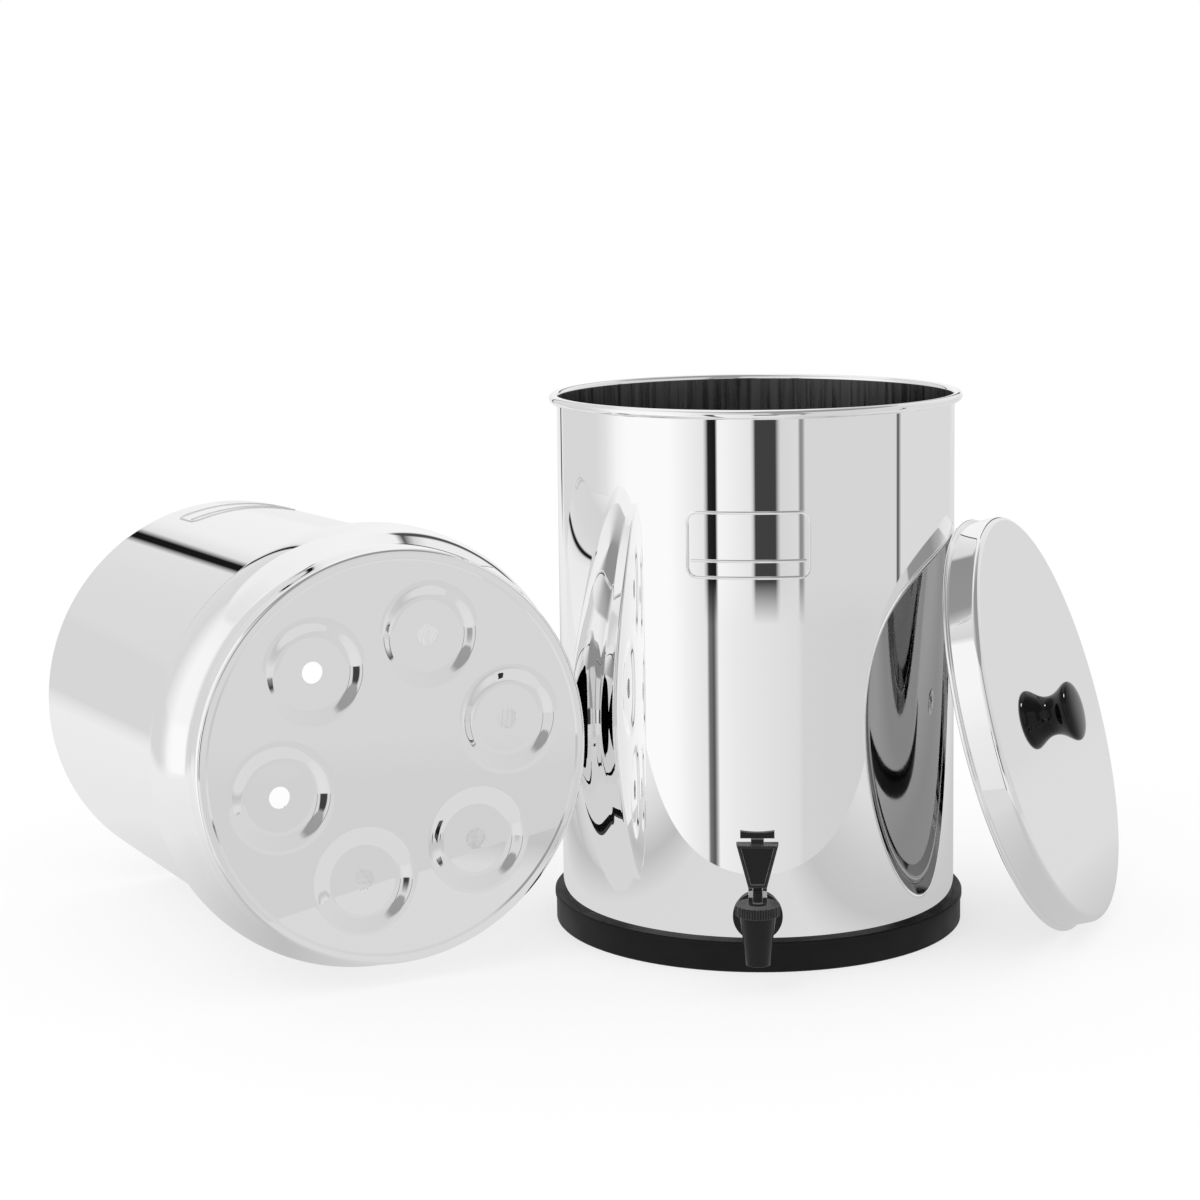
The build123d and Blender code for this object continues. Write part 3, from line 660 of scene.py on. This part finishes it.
# ---- upper chamber --------------------------------------------------------------------------
@dataclass
class UpperChamber:
    """Drawn pot on its side: disc with dished holes, plug, shoulder, band, step, rolled edge."""

    tall: float = 305.0
    plug_fit: float = 0.5
    plug_tall: float = 16.0
    disc_bend: float = 2.6
    disc_edge: float = 2.6
    recess: float = 0.6
    recess_bend: float = 1.0
    slope: float = 1.5
    shoulder_rise: float = 22.0
    shoulder_foot_r: float = 12.0
    shoulder_r: float = 50.0
    band_proud: float = 4.9
    band_top: float = 54.0
    step_top: float = 66.0
    step_band_r: float = 8.0
    step_body_r: float = 10.0
    hem_r: float = 1.8
    hem_sweep: float = 300.0       # degrees that the hem is rolled, inwards
    hole_count: int = 6
    hole_pcd: float = 150.0
    hole_r: float = 6.5
    pad_r: float = 23.0
    dish_r: float = 31.0
    dish_deep: float = 3.0
    dish_bend: float = 14.0
    dish_run: float = 1 / 3        # share of the bend over which a dish runs out into the disc
    dish_around: int = 96
    spin: float = 47.9             # first hole, in degrees about the axis
    frame_at: Point = (88.0, 262.0)    # degrees about the axis, and distance from the disc
    frame_tall: float = 32.0

    def place(self) -> Matrix:
        """Frame of the pot: origin in the middle of the disc end, +Z towards the open end."""
        mount = next(m for m in frame["record"]["mounts"] if m["name"] == "filter_holes")
        axis = Vector(mount["axis"])
        origin = Vector(mount["pos_m"]) / MM + axis * (self.recess + self.dish_deep)
        return stand_on(origin, -axis)

    def build(self) -> None:
        """Makes the pot and its embossed frame."""
        steel, satin = Finishes.POLISHED_STAINLESS.value, Finishes.DRAWN_STAINLESS.value
        shell = Shell("upper_chamber_body")
        plug = LOWER_R - SHEET - self.plug_fit - HALF
        band = LOWER_R - SHEET + 2 * RIM_TUBE_R + self.band_proud - HALF
        body = UPPER_R - HALF
        disc_z = self.recess + HALF
        disc_r = plug - self.disc_bend - self.disc_edge
        flat_r = self.hole_pcd / 2 + self.dish_edge() + SHEET
        hem_z = self.tall - self.hem_r
        profile = Profile().bent((
            (flat_r, disc_z, 0), (disc_r - self.slope, disc_z, self.recess_bend),
            (disc_r, HALF, self.recess_bend), (plug, HALF, self.disc_bend),
            (plug, self.plug_tall, self.shoulder_foot_r),
            (band, self.plug_tall + self.shoulder_rise, self.shoulder_r),
            (band, self.band_top, self.step_band_r), (body, self.step_top, self.step_body_r),
            (body, hem_z, 0),
        )).roll((UPPER_R - self.hem_r, hem_z), self.hem_sweep)
        shell.turn(profile.outline(), AROUND, lined=profile.lined)
        rings = [circle((0, 0), flat_r, AROUND), *self._dishes(shell, disc_z)]
        shell.sheet(rings, disc_z - HALF, flip=True)
        shell.sheet(rings, disc_z + HALF, flip=False)
        settle(shell.build(self.place(), steel, satin), "upper_chamber", steel, "upper_chamber")
        # The upper frame's greyer steel is painted shade.
        RaisedFrame("upper_frame", "upper_chamber", self.place(), UPPER_R, *self.frame_at,
                    tall=self.frame_tall, finish=Finishes.PRESSED_STAINLESS.value).build()

    def dish_edge(self) -> float:
        """Radius at which a dish has run out into the flat disc."""
        return self.dish_r + self.slope + self.dish_bend * self.dish_run

    def _dishes(self, shell: Shell, disc_z: float) -> list[list[Point]]:
        """Adds the dished pads, and gives the ring where each meets the flat disc."""
        edge = self.dish_edge()
        pad_z = disc_z + self.dish_deep
        profile = Profile().bent((
            (self.hole_r, pad_z, 0), (self.pad_r, pad_z, self.dish_bend),
            (self.dish_r, disc_z, self.dish_bend), (edge, disc_z, 0),
        ))
        rings = []
        for i in range(self.hole_count):
            turn = radians(self.spin + 360 * i / self.hole_count)
            centre = (self.hole_pcd / 2 * cos(turn), self.hole_pcd / 2 * sin(turn))
            shell.turn(profile.outline(), self.dish_around, centre)
            rings.append(circle(centre, edge, self.dish_around))
        return rings


# ---- lid ------------------------------------------------------------------------------------
@dataclass
class Lid:
    """Shallow pan with a rolled edge, and its mushroom-shaped knob."""

    fit: float = 1.4
    tall: float = 22.4
    bend: float = 3.6
    tube_r: float = 1.7
    tube_sweep: float = 300.0      # degrees that the edge is rolled, outwards
    hole_r: float = 2.75
    insert_tall: float = 9.0       # brass insert in the knob's foot

    def place(self) -> Matrix:
        """Frame of the lid: origin in the middle of its rolled edge, +Z out through the knob."""
        axis = joint_axis("lid_lift").normalized()
        up = self.tall + FACE_GAP + self.insert_tall / 2
        return stand_on(box_middle("knob_insert") - axis * up, axis)

    def build(self) -> None:
        """Makes the pan and dresses the knob's pieces."""
        # The lid's darker inside is painted shade.
        steel, lid_inside_finish = Finishes.POLISHED_STAINLESS.value, Finishes.SHADED_LID_STAINLESS.value
        wall = UPPER_R + self.fit + HALF
        profile = Profile().bent((
            (self.hole_r, self.tall - HALF, 0), (wall, self.tall - HALF, self.bend),
            (wall, self.tube_r, 0),
        )).roll((wall - HALF + self.tube_r, self.tube_r), self.tube_sweep)
        shell = Shell("lid_pan")
        shell.turn(profile.outline()[::-1], AROUND, lined=profile.lined)
        settle(shell.build(self.place(), steel, lid_inside_finish), "lid", steel, "lid_shell")
        dress("knob_crown", Finishes.POLISHED_PHENOLIC.value)
        dress("knob_insert", Finishes.TURNED_BRASS.value)
        for node in ("knob_screw", "knob_washer"):
            dress(node, Finishes.PLATED_STEEL.value)


# ---- tap ------------------------------------------------------------------------------------
@dataclass
class Tap:
    """Lever tap of the lower chamber."""

    plastic: tuple[str, ...] = ("tap_body", "tap_bonnet", "tap_lever", "tap_nut", "valve_stem")
    washers: tuple[str, ...] = ("tap_outer_washer", "tap_inner_washer")

    def build(self) -> None:
        """Dresses the tap's pieces, whose own image the steel behind them doesn't show."""
        for node in self.plastic:
            dress(node, Finishes.MOULDED_NYLON.value).visible_glossy = False
        for node in self.washers:
            dress(node, Finishes.MOULDED_RUBBER.value)
        dress("seat_cup", Finishes.MOULDED_SILICONE.value)
        dress("lever_pin", Finishes.PLATED_STEEL.value)


# ---- filter elements ------------------------------------------------------------------------
@dataclass
class FilterElements:
    """Two carbon elements and the stoppers, stored in the lower chamber."""

    count: int = 2

    def build(self) -> None:
        """Dresses the elements' pieces and the stoppers."""
        for number in range(1, self.count + 1):
            dress(f"filter_{number}_cartridge", Finishes.PRESSED_CARBON.value)
            dress(f"filter_{number}_base", Finishes.MOULDED_POLYPROPYLENE.value)
            dress(f"filter_{number}_wing_nut", Finishes.MOULDED_POLYPROPYLENE.value)
            dress(f"filter_{number}_seal", Finishes.GREY_RUBBER.value)
        dress("hole_plugs", Finishes.GREY_RUBBER.value)


# ---- studio ---------------------------------------------------------------------------------
@dataclass
class Camera:
    """Camera in front of the set, a little above it."""

    stand: Vector = field(default_factory=lambda: Vector((0.0, -1.7, 0.494)))
    lens: float = 80.4             # millimetres
    sensor: float = 36.0
    yaw: float = 3.34              # degrees to the left
    pitch: float = 7.04            # degrees down
    roll: float = -0.75
    shift: float = -0.1            # share of the frame that the lens is shifted by

    def build(self) -> None:
        """Adds the camera and makes it the scene's."""
        yaw, pitch, roll = radians(self.yaw), radians(self.pitch), radians(self.roll)
        forward = Vector((-sin(yaw) * cos(pitch), cos(yaw) * cos(pitch), -sin(pitch)))
        right = Vector((cos(yaw), sin(yaw), 0))
        up = right.cross(forward)
        right, up = right * cos(roll) + up * sin(roll), up * cos(roll) - right * sin(roll)
        data = bpy.data.cameras.new("camera")
        data.lens, data.sensor_width, data.shift_y = self.lens, self.sensor, self.shift
        camera = bpy.data.objects.new("camera", data)
        turned = Matrix((right, up, -forward)).transposed().to_4x4()
        camera.matrix_world = Matrix.Translation(self.stand) @ turned
        bpy.context.scene.collection.objects.link(camera)
        bpy.context.scene.camera = camera


@dataclass(frozen=True)
class Stop:
    """A shade of the studio at a direction in degrees, or at a distance in metres."""

    at: float
    shade: str


@dataclass
class Studio:
    """Pale floor, soft plain light, and the room that the steel mirrors."""

    # Shades by direction about the set: 0 is towards the camera, positive to the right.
    level_shades: tuple[Stop, ...] = (
        Stop(-180, "F4F4F4"), Stop(-154.2, "EAEAEA"), Stop(-153.6, "141414"), Stop(-151.2, "141414"),
        Stop(-150.4, "F4F4F4"), Stop(-147, "D9D9D9"), Stop(-104, "DADADA"), Stop(-95, "E4E4E4"),
        Stop(-86, "F8F8F8"), Stop(-78, "FFFFFF"), Stop(-50, "FFFFFF"), Stop(-38, "F2F2F2"),
        Stop(-28.4, "E8E8E8"), Stop(-27.7, "262626"), Stop(-22.4, "1A1A1A"), Stop(-21.6, "FAFAFA"),
        Stop(-1.6, "E8E8E8"), Stop(-0.8, "404040"), Stop(12.2, "404040"), Stop(13, "D8D8D8"),
        Stop(25.1, "DEDEDE"), Stop(25.4, "424242"), Stop(26.6, "424242"), Stop(26.9, "D9D9D9"),
        Stop(88, "D9D9D9"), Stop(88.5, "303030"), Stop(89.8, "303030"), Stop(90.3, "DEDEDE"),
        Stop(150, "DCDCDC"), Stop(168, "EEEEEE"), Stop(180, "F4F4F4"),
    )
    low_shades: tuple[Stop, ...] = (
        Stop(-180, "E6E6E6"), Stop(-150, "D8D8D8"), Stop(-104, "DADADA"), Stop(-95, "E4E4E4"),
        Stop(-86, "F8F8F8"), Stop(-78, "FFFFFF"), Stop(-50, "FFFFFF"), Stop(-44, "FAFAFA"),
        Stop(-38, "F2F2F2"), Stop(-28, "E8E8E8"), Stop(-27, "7A7A7A"), Stop(-23, "464646"),
        Stop(-21.8, "F4F4F4"), Stop(-10, "ECECEC"), Stop(10, "E4E4E4"), Stop(25.3, "DEDEDE"),
        Stop(25.6, "484848"), Stop(26.2, "484848"), Stop(26.5, "D6D6D6"), Stop(60, "D3D3D3"),
        Stop(88, "D6D6D6"), Stop(88.5, "404040"), Stop(89.6, "404040"), Stop(90.2, "DEDEDE"),
        Stop(150, "DCDCDC"), Stop(180, "E6E6E6"),
    )
    # Shades of the upper walls and of the ceiling.
    high_shades: tuple[Stop, ...] = (
        Stop(-180, "F8F8F8"), Stop(-158, "F2F2F2"), Stop(-154.6, "E4E4E4"), Stop(-154.3, "181818"),
        Stop(-151.3, "181818"), Stop(-151, "E4E4E4"), Stop(-140, "DEDEDE"), Stop(-112, "DADADA"),
        Stop(-95, "ECECEC"), Stop(-80, "FAFAFA"), Stop(-44, "FAFAFA"), Stop(-20, "E0E0E0"),
        Stop(8, "D4D4D4"), Stop(11, "A0A0A0"), Stop(27, "9A9A9A"), Stop(33, "D4D4D4"),
        Stop(100, "DADADA"), Stop(164, "F0F0F0"), Stop(166, "4A4A4A"), Stop(170, "4A4A4A"),
        Stop(172, "FAFAFA"), Stop(180, "F8F8F8"),
    )
    top_shades: tuple[Stop, ...] = (
        Stop(-180, "F8F8F8"), Stop(-110, "F2F2F2"), Stop(-80, "E4E4E4"), Stop(-52, "C8C8C8"),
        Stop(-10, "989898"), Stop(110, "949494"), Stop(140, "B4B4B4"), Stop(165, "F4F4F4"),
        Stop(180, "F8F8F8"),
    )
    high_foot: float = 6.0         # degrees of height where the upper walls begin
    top_foot: float = 46.0         # degrees of height where the ceiling begins
    edge_soft: float = 1.2         # half of the soft edge between them, in degrees
    strip_foot: float = -9.7       # degrees of height where the middle strip ends
    strip_soft: float = 0.008      # half of its soft edge, as a share of the way up
    board_edge: float = -0.34      # metres, front edge of the table top
    board_half: float = 1.2        # metres, from its middle to each side
    board_soft: float = 0.3        # metres, over which it fades out there
    # Shades of the glowing table top that only the steel sees, by distance to the left, in metres;
    # darker near the feet of the pot and the lid, a painted shadow.
    table_shades_and_shadow: tuple[Stop, ...] = (
        Stop(-1.1, "F2F2F2"), Stop(-0.68, "EEEEEE"), Stop(-0.5, "EAEAEA"), Stop(-0.39, "DADADA"),
        Stop(-0.29, "C0C0C0"), Stop(-0.2, "DCDCDC"), Stop(0.08, "DEDEDE"), Stop(0.16, "C6C6C6"),
        Stop(0.25, "CCCCCC"), Stop(0.45, "E0E0E0"),
    )
    floor_shadow: float = 0.3      # share of the floor's white that the object can shade
    floor_half: float = 6.0        # metres
    middle: Vector = field(default_factory=lambda: Vector((0.1, 0.0, 0.15)))
    key: Vector = field(default_factory=lambda: Vector((-1.2, -1.4, 2.0)))
    key_size: float = 1.2          # metres across
    key_power: float = 5.0         # watts
    glint: Vector = field(default_factory=lambda: Vector((0.11, -0.25, 1.23)))
    glint_size: float = 0.28       # metres across
    glint_power: float = 9.0       # watts
    glint_on: tuple[str, ...] = ("knob_crown", "tap_body", "tap_bonnet", "tap_lever")

    def build(self) -> None:
        """Adds the world, the floor and the lamps."""
        self._world()
        self._floor()
        self._lamps()
        bpy.context.scene.view_settings.view_transform = "Standard"

    def _ramp(self, tree: bpy.types.NodeTree, turn: bpy.types.NodeSocket,
              stops: Sequence[Stop]) -> bpy.types.NodeSocket:
        """Colours a direction by its stops.

        Args:
            tree: The world's node tree.
            turn: The direction, with 0 at the first stop and 1 at the last.
            stops: Shades in order of their directions.

        Returns:
            The colour.
        """
        ramp = add_node(tree, "ShaderNodeValToRGB", links={"Fac": turn})
        start, end = stops[0].at, stops[-1].at
        elements = ramp.color_ramp.elements
        while len(elements) < len(stops):
            elements.new(1.0)
        for element, stop in zip(elements, stops):
            element.position = (stop.at - start) / (end - start)
            element.color = linear(stop.shade)
        return ramp.outputs["Color"]

    def _above(self, tree: bpy.types.NodeTree, lift: bpy.types.NodeSocket, foot: float,
               under: bpy.types.NodeSocket, over: bpy.types.NodeSocket) -> bpy.types.NodeSocket:
        """Changes from one shade to another over a soft edge.

        Args:
            tree: The world's node tree.
            lift: Height of the direction, in radians.
            foot: Height of the edge, in degrees.
            under: Shade below the edge.
            over: Shade above it.

        Returns:
            The joined shade.
        """
        soft = radians(self.edge_soft)
        share = add_node(tree, "ShaderNodeMapRange", {
            "From Min": radians(foot) - soft, "From Max": radians(foot) + soft,
        }, {"Value": lift})
        return add_node(tree, "ShaderNodeMix", {"data_type": "RGBA"},
                        {0: share.outputs[0], 6: under, 7: over}).outputs[2]

    def _world(self) -> None:
        """White to the camera, plain light to matt surfaces, the room's shades to the steel."""
        world = bpy.data.worlds.new("studio")
        bpy.context.scene.world = world
        world.use_nodes = True
        tree = world.node_tree
        tree.nodes.clear()
        way = add_node(tree, "ShaderNodeTexCoord").outputs["Generated"]
        axes = add_node(tree, "ShaderNodeSeparateXYZ", links={0: way}).outputs
        back = add_node(tree, "ShaderNodeMath", {"operation": "MULTIPLY", 1: -1.0}, {0: axes["Y"]})
        turn = add_node(tree, "ShaderNodeMath", {"operation": "ARCTAN2"},
                        {0: axes["X"], 1: back.outputs[0]})
        share = add_node(tree, "ShaderNodeMapRange", {"From Min": -pi, "From Max": pi},
                         {"Value": turn.outputs[0]}).outputs[0]
        level = self._ramp(tree, share, self.level_shades)
        low = self._ramp(tree, share, self.low_shades)
        foot = sin(radians(self.strip_foot))
        height = add_node(tree, "ShaderNodeMapRange", {
            "From Min": foot - self.strip_soft, "From Max": foot + self.strip_soft,
        }, {"Value": axes["Z"]})
        room = add_node(tree, "ShaderNodeMix", {"data_type": "RGBA"},
                        {0: height.outputs[0], 6: low, 7: level})
        lift = add_node(tree, "ShaderNodeMath", {"operation": "ARCSINE"}, {0: axes["Z"]})
        high = self._ramp(tree, share, self.high_shades)
        top = self._ramp(tree, share, self.top_shades)
        walls = self._above(tree, lift.outputs[0], self.high_foot, room.outputs[2], high)
        whole = self._above(tree, lift.outputs[0], self.top_foot, walls, top)
        rays = add_node(tree, "ShaderNodeLightPath").outputs
        mirrored = add_node(tree, "ShaderNodeMix", {"data_type": "RGBA", 6: (1, 1, 1, 1)},
                            {0: rays["Is Glossy Ray"], 7: whole})
        light = add_node(tree, "ShaderNodeBackground", {"Strength": 1.0},
                         {"Color": mirrored.outputs[2]})
        add_node(tree, "ShaderNodeOutputWorld", links={"Surface": light.outputs[0]})

    def _floor(self) -> None:
        """Adds the floor: white to the camera but for the object's shadow, a table with painted
        shadow to the steel.
        """
        mesh = bpy.data.meshes.new("floor")
        size = self.floor_half
        mesh.from_pydata([(-size, -size, 0), (size, -size, 0), (size, size, 0), (-size, size, 0)],
                         [], [(0, 1, 2, 3)])
        floor = bpy.data.objects.new("floor", mesh)
        bpy.context.scene.collection.objects.link(floor)
        material = bpy.data.materials.new("matt_white_paper")
        material.use_nodes = True
        tree = material.node_tree
        tree.nodes.clear()
        glow = add_node(tree, "ShaderNodeEmission",
                        {"Color": (1, 1, 1, 1), "Strength": 1 - self.floor_shadow})
        paint = add_node(tree, "ShaderNodeBsdfDiffuse", {"Color": (*[self.floor_shadow] * 3, 1)})
        seen = add_node(tree, "ShaderNodeAddShader",
                        links={0: glow.outputs[0], 1: paint.outputs[0]})
        gone = add_node(tree, "ShaderNodeBsdfTransparent")
        place = add_node(tree, "ShaderNodeNewGeometry").outputs["Position"]
        axes = add_node(tree, "ShaderNodeSeparateXYZ", links={0: place}).outputs
        start, end = self.table_shades_and_shadow[0].at, self.table_shades_and_shadow[-1].at
        aside = add_node(tree, "ShaderNodeMapRange", {"From Min": start, "From Max": end},
                         {"Value": axes["X"]})
        shade = self._ramp(tree, aside.outputs[0], self.table_shades_and_shadow)
        # The table glows with its shades, painted light that the steel mirrors, with painted shadow
        # near the pieces.
        board = add_node(tree, "ShaderNodeEmission", links={"Color": shade})
        behind = add_node(tree, "ShaderNodeMath", {"operation": "GREATER_THAN", 1: self.board_edge},
                          {0: axes["Y"]})
        out = add_node(tree, "ShaderNodeMath", {"operation": "ABSOLUTE"}, {0: axes["X"]})
        beside = add_node(tree, "ShaderNodeMapRange", {
            "From Min": self.board_half, "From Max": self.board_half - self.board_soft,
        }, {"Value": out.outputs[0]})
        inside = add_node(tree, "ShaderNodeMath", {"operation": "MULTIPLY"},
                          {0: behind.outputs[0], 1: beside.outputs[0]})
        table = add_node(tree, "ShaderNodeMixShader",
                         links={0: inside.outputs[0], 1: gone.outputs[0], 2: board.outputs[0]})
        rays = add_node(tree, "ShaderNodeLightPath").outputs
        both = add_node(tree, "ShaderNodeMixShader", links={
            0: rays["Is Glossy Ray"], 1: seen.outputs[0], 2: table.outputs[0]})
        add_node(tree, "ShaderNodeOutputMaterial", links={"Surface": both.outputs[0]})
        mesh.materials.append(material)

    def _lamps(self) -> None:
        """Adds a broad soft key lamp, and a small one that glints on the black pieces alone."""
        self._lamp("key", self.key, self.key_size, self.key_power).visible_glossy = False
        black = bpy.data.collections.new("black_pieces")
        for node in self.glint_on:
            black.objects.link(frame["nodes"][node])
        glint = self._lamp("glint", self.glint, self.glint_size, self.glint_power)
        glint.light_linking.receiver_collection = black

    def _lamp(self, name: str, place: Vector, size: float, power: float) -> bpy.types.Object:
        """Adds a round lamp that faces the set.

        Args:
            name: Name of the lamp.
            place: Where it hangs, in metres.
            size: Its diameter, in metres.
            power: Its power, in watts.

        Returns:
            The lamp.
        """
        data = bpy.data.lights.new(name, "AREA")
        data.shape, data.size, data.energy = "DISK", size, power
        lamp = bpy.data.objects.new(name, data)
        lamp.location = place
        towards = self.middle - place
        lamp.rotation_euler = towards.to_track_quat("-Z", "Y").to_euler()
        bpy.context.scene.collection.objects.link(lamp)
        return lamp


def main() -> None:
    """Builds the set, piece by piece, and the studio round it."""
    logging.basicConfig(level=logging.INFO, format="%(name)s: %(message)s")
    Camera().build()
    for assembly in (LowerChamber(), Tap(), UpperChamber(), Lid(), FilterElements(), Studio()):
        assembly.build()
        log.info("%s built", type(assembly).__name__)


if __name__ == "__main__":
    main()
